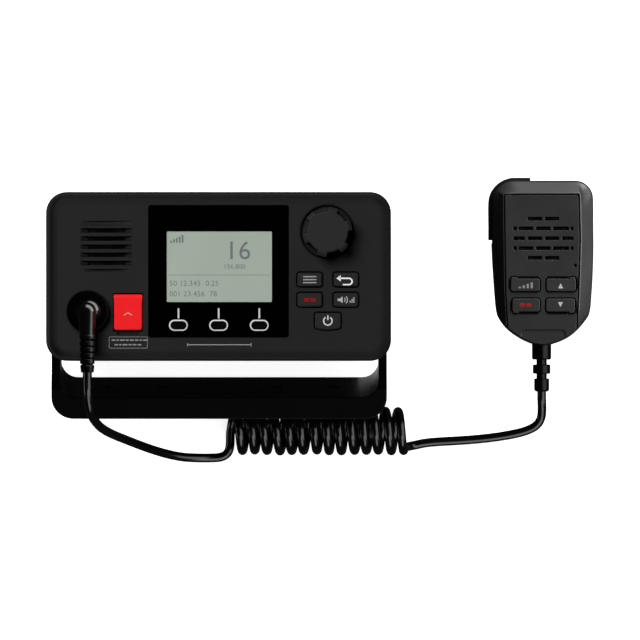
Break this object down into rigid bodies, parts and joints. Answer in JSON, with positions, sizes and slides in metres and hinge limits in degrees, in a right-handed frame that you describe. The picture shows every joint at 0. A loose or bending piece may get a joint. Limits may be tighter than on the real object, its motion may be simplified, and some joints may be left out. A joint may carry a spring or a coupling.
{
  "type": "vhf marine radio",
  "caption": "Fixed-mount marine radio with a display, keys and rotary knob, in a tilting U bracket, with a hand microphone on a coiled cord.",
  "frame": {"origin": "middle of the radio's back, on the tips of the heat sink's fins", "axes": "+X to the right of the front panel, +Y to its top, +Z out of the front panel"},
  "size_m": [0.2873, 0.1508, 0.0947],
  "materials": {
    "panel_plastic": "fine matte texture",
    "case_plastic": "satin black",
    "heat_sink_metal": "black anodised",
    "bracket_plastic": "fine matte texture",
    "black_rubber": "matte",
    "cord_rubber": "satin",
    "key_rubber": "satin",
    "silicone": "translucent",
    "knob_plastic": "polished",
    "window": "polished",
    "window_mask": "gloss",
    "lcd": "gloss",
    "white_plastic": "matte",
    "board": "solder mask",
    "tin_plate": "satin",
    "steel": "satin",
    "brass": "satin",
    "nickel": "satin",
    "red_plastic": "satin",
    "mic_plastic": "fine matte texture",
    "plug_plastic": "satin",
    "paper_cone": "matte"
  },
  "bodies": {
    "radio": {"antenna_socket": "nickel", "cable_glands": "black_rubber", "case_screws": "steel", "cord_coil": "cord_rubber", "cord_lead_mic": "cord_rubber", "cord_lead_radio": "cord_rubber", "cover_hinge_pin": "steel", "cover_spring": "steel", "display_lens": "window", "friction_washers": "black_rubber", "front_panel": "panel_plastic", "hang_stud": "steel", "heat_sink": "heat_sink_metal", "heat_sink_screws": "steel", "key_mat": "silicone", "lcd_backlight": "white_plastic", "lcd_panel": "lcd", "lens_mask": "window_mask", "main_pcb": "board", "mic_capsule": "tin_plate", "mic_front_shell": "mic_plastic", "mic_pcb": "board", "mic_plug": "plug_plastic", "mic_rear_shell": "mic_plastic", "mic_screws": "steel", "mic_socket": "nickel", "mic_speaker": "steel", "mic_strain_relief": "black_rubber", "panel_gasket": "black_rubber", "panel_pcb": "board", "pcb_screws": "steel", "ptt_pivot_pin": "steel", "ptt_switch": "plug_plastic", "rear_case": "case_plastic", "rf_shield_can": "tin_plate", "rotary_encoder": "steel", "speaker_cone": "paper_cone", "speaker_driver": "steel", "threaded_inserts": "brass"},
    "bracket": {"bracket": "bracket_plastic"},
    "clamp_right": {"clamp_knob_right": "knob_plastic"},
    "clamp_left": {"clamp_knob_left": "knob_plastic"},
    "tuning": {"tuning_knob": "knob_plastic", "encoder_shaft": "steel"},
    "cover": {"distress_cover": "red_plastic"},
    "distress": {"distress_button": "red_plastic"},
    "menu": {"menu_key": "key_rubber"},
    "back": {"back_key": "key_rubber"},
    "priority": {"priority_key": "key_rubber"},
    "volume": {"volume_key": "key_rubber"},
    "power": {"power_key": "key_rubber"},
    "soft_left": {"soft_key_left": "key_rubber"},
    "soft_middle": {"soft_key_middle": "key_rubber"},
    "soft_right": {"soft_key_right": "key_rubber"},
    "mic_power_level": {"mic_power_level_key": "key_rubber"},
    "mic_up": {"mic_up_key": "key_rubber"},
    "mic_down": {"mic_down_key": "key_rubber"},
    "mic_priority": {"mic_priority_key": "key_rubber"},
    "talk_lever": {"mic_ptt_lever": "mic_plastic"},
    "plug_nut": {"plug_coupling_nut": "plug_plastic"}
  },
  "joints": [
    {"name": "bracket_tilt", "type": "hinge", "parent": "radio", "child": "bracket", "pos_m": [0, 0, 0.0456], "axis": [1, 0, 0], "range_deg": [-15, 75]},
    {"name": "clamp_right_turn", "type": "hinge", "parent": "radio", "child": "clamp_right", "pos_m": [0.085, 0, 0.0456], "axis": [1, 0, 0], "range_deg": [0, 360]},
    {"name": "clamp_left_turn", "type": "hinge", "parent": "radio", "child": "clamp_left", "pos_m": [-0.085, 0, 0.0456], "axis": [-1, 0, 0], "range_deg": [0, 360]},
    {"name": "tuning_turn", "type": "hinge", "parent": "radio", "child": "tuning", "pos_m": [0.0568, 0.0231, 0.085], "axis": [0, 0, 1], "continuous": true},
    {"name": "cover_lift", "type": "hinge", "parent": "radio", "child": "cover", "pos_m": [-0.04705, -0.011, 0.0771], "axis": [-1, 0, 0], "range_deg": [0, 90], "stiffness_Nm_per_rad": 0.003, "springref_deg": -22.92},
    {"name": "distress_press", "type": "slide", "parent": "radio", "child": "distress", "axis": [0, 0, -1], "range_m": [0, 0.0008], "stiffness_N_per_m": 500, "springref_m": -0.0008},
    {"name": "menu_press", "type": "slide", "parent": "radio", "child": "menu", "axis": [0, 0, -1], "range_m": [0, 0.0008], "stiffness_N_per_m": 500, "springref_m": -0.0008},
    {"name": "back_press", "type": "slide", "parent": "radio", "child": "back", "axis": [0, 0, -1], "range_m": [0, 0.0008], "stiffness_N_per_m": 500, "springref_m": -0.0008},
    {"name": "priority_press", "type": "slide", "parent": "radio", "child": "priority", "axis": [0, 0, -1], "range_m": [0, 0.0008], "stiffness_N_per_m": 500, "springref_m": -0.0008},
    {"name": "volume_press", "type": "slide", "parent": "radio", "child": "volume", "axis": [0, 0, -1], "range_m": [0, 0.0008], "stiffness_N_per_m": 500, "springref_m": -0.0008},
    {"name": "power_press", "type": "slide", "parent": "radio", "child": "power", "axis": [0, 0, -1], "range_m": [0, 0.0008], "stiffness_N_per_m": 500, "springref_m": -0.0008},
    {"name": "soft_left_press", "type": "slide", "parent": "radio", "child": "soft_left", "axis": [0, 0, -1], "range_m": [0, 0.0006], "stiffness_N_per_m": 500, "springref_m": -0.0008},
    {"name": "soft_middle_press", "type": "slide", "parent": "radio", "child": "soft_middle", "axis": [0, 0, -1], "range_m": [0, 0.0006], "stiffness_N_per_m": 500, "springref_m": -0.0008},
    {"name": "soft_right_press", "type": "slide", "parent": "radio", "child": "soft_right", "axis": [0, 0, -1], "range_m": [0, 0.0006], "stiffness_N_per_m": 500, "springref_m": -0.0008},
    {"name": "mic_power_level_press", "type": "slide", "parent": "radio", "child": "mic_power_level", "axis": [0, 0, -1], "range_m": [0, 0.0008], "stiffness_N_per_m": 500, "springref_m": -0.0008},
    {"name": "mic_up_press", "type": "slide", "parent": "radio", "child": "mic_up", "axis": [0, 0, -1], "range_m": [0, 0.0008], "stiffness_N_per_m": 500, "springref_m": -0.0008},
    {"name": "mic_down_press", "type": "slide", "parent": "radio", "child": "mic_down", "axis": [0, 0, -1], "range_m": [0, 0.0008], "stiffness_N_per_m": 500, "springref_m": -0.0008},
    {"name": "mic_priority_press", "type": "slide", "parent": "radio", "child": "mic_priority", "axis": [0, 0, -1], "range_m": [0, 0.0008], "stiffness_N_per_m": 500, "springref_m": -0.0008},
    {"name": "talk_press", "type": "hinge", "parent": "radio", "child": "talk_lever", "pos_m": [0.1616, 0.0484, 0.0155], "axis": [0, 0, 1], "range_deg": [0, 3], "stiffness_Nm_per_rad": 0.6, "springref_deg": -3.44},
    {"name": "plug_nut_turn", "type": "hinge", "parent": "radio", "child": "plug_nut", "pos_m": [-0.068, -0.0182, 0.0814], "axis": [0, 0, 1], "range_deg": [0, 360]}
  ]
}
